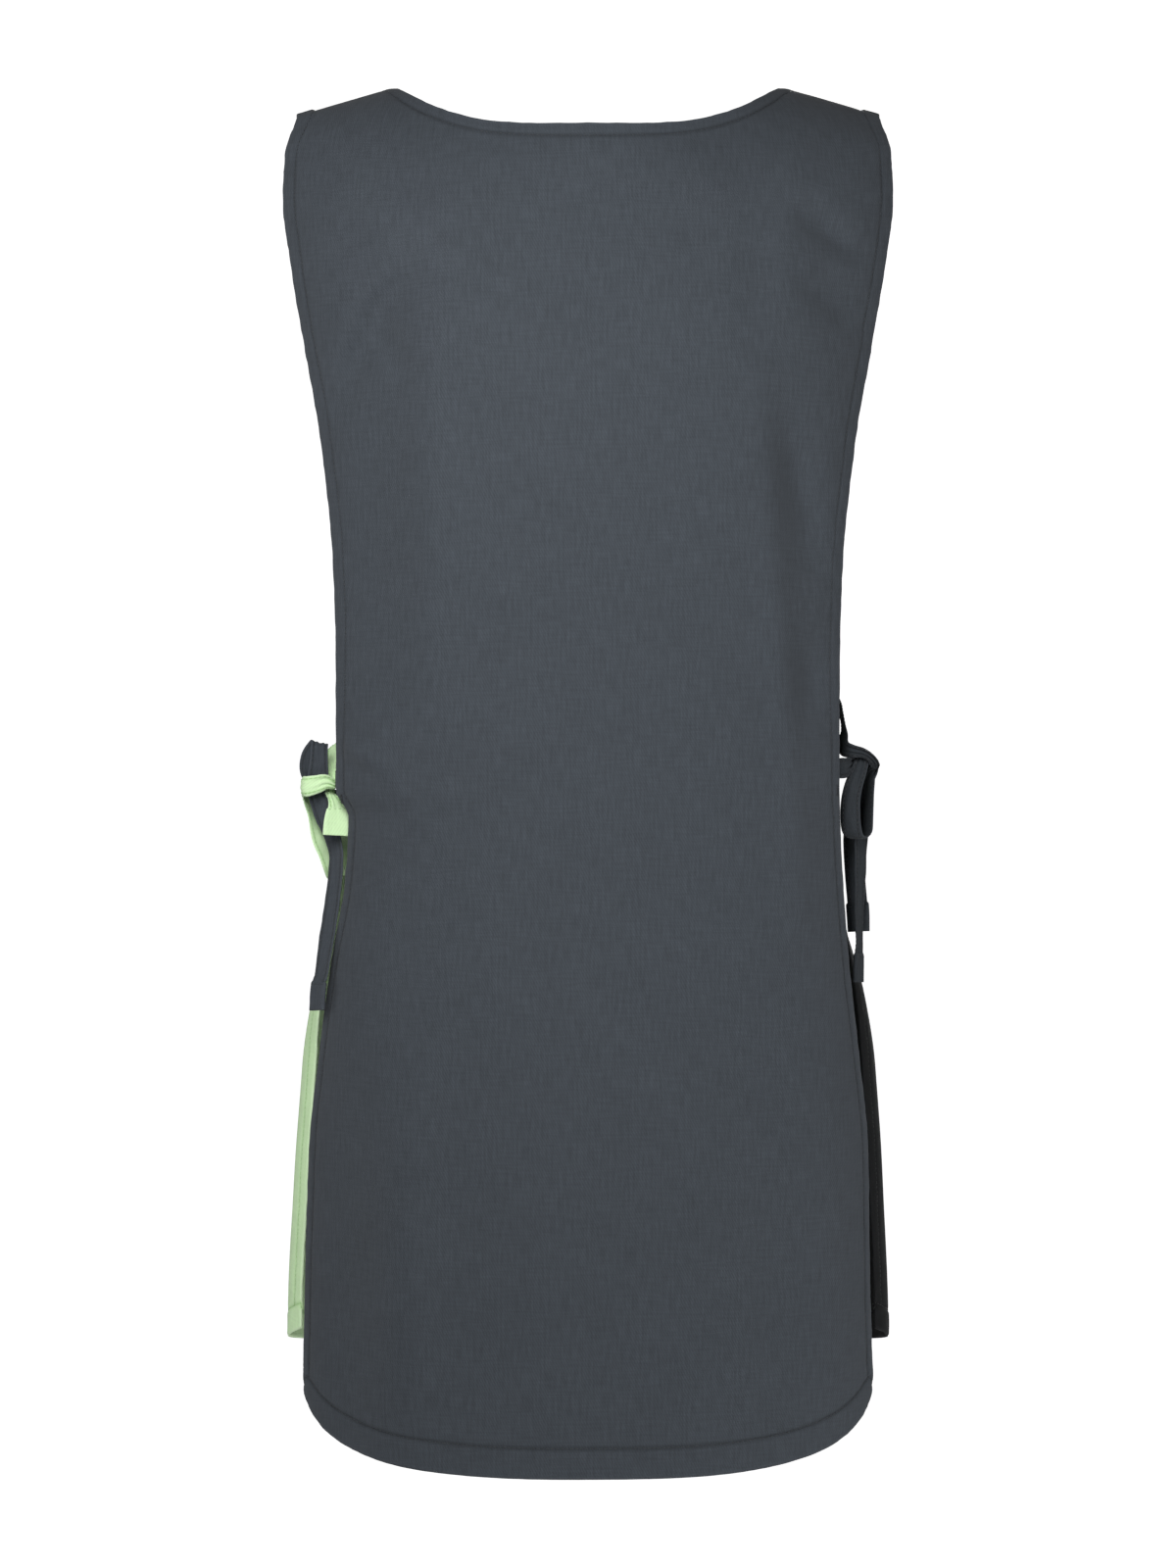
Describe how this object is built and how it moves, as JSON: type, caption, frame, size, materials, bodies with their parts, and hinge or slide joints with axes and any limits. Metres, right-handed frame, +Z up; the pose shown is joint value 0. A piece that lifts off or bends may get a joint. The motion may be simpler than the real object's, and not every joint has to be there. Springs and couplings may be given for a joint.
{
  "type": "cobbler apron",
  "caption": "Sleeveless twill tabard apron that covers front and back, open at the sides, with a part-coloured front, a curved hem and cloth ties knotted in bows at the waist.",
  "frame": {"origin": "midway between the inner ends of the two shoulder seams, where the apron hangs on the shoulders", "axes": "+X to the wearer's right, +Y to the wearer's front, +Z up"},
  "size_m": [0.3758, 0.2283, 0.8482],
  "materials": {
    "slate_twill": "matt slate-grey cotton twill with tonal topstitching",
    "dark_twill": "matt charcoal cotton twill",
    "green_twill": "matt apple-green cotton twill"
  },
  "bodies": {
    "root": {"back_panel": "slate_twill", "front_panel_dark": "dark_twill", "front_panel_green": "green_twill", "tie_back_left": "slate_twill", "tie_front_left": "green_twill", "tie_back_right": "slate_twill", "tie_front_right": "slate_twill"}
  },
  "joints": []
}
